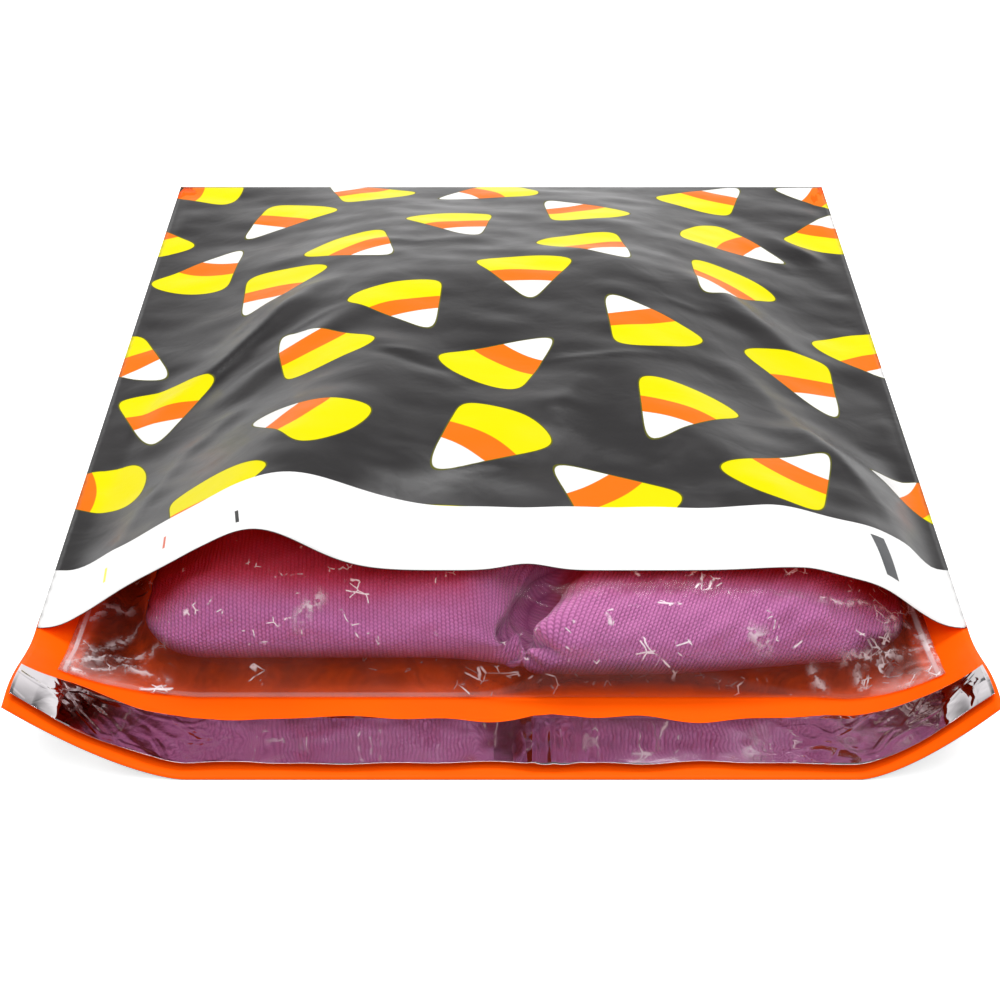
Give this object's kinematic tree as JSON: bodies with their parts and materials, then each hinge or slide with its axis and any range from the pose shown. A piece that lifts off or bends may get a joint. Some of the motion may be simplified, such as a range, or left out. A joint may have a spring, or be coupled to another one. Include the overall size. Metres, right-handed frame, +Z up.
{
  "type": "poly mailer bag",
  "caption": "Printed film mailer lying open on its back, its flap folded out flat under a silvery liner, filled by a folded garment in a clear sleeve.",
  "frame": {"origin": "centre of the bounding box at the height of the table the bag lies on", "axes": "+Z up, +Y into the bag from its flap to its bottom fold, +X to the right of someone who looks in at the mouth"},
  "size_m": [0.2488, 0.374, 0.041],
  "materials": {
    "printed_film": "satin printed film, dark grey outside and orange inside",
    "clear_film": "thin clear crinkled film",
    "garment_knit": "purple-pink cotton jersey",
    "silver_liner": "silvery release film, wavy",
    "adhesive": "pale hot-melt adhesive"
  },
  "bodies": {
    "root": {"mailer_film": "printed_film", "garment_sleeve": "clear_film", "folded_garment": "garment_knit", "release_liner": "silver_liner", "adhesive_strip": "adhesive"}
  },
  "joints": []
}
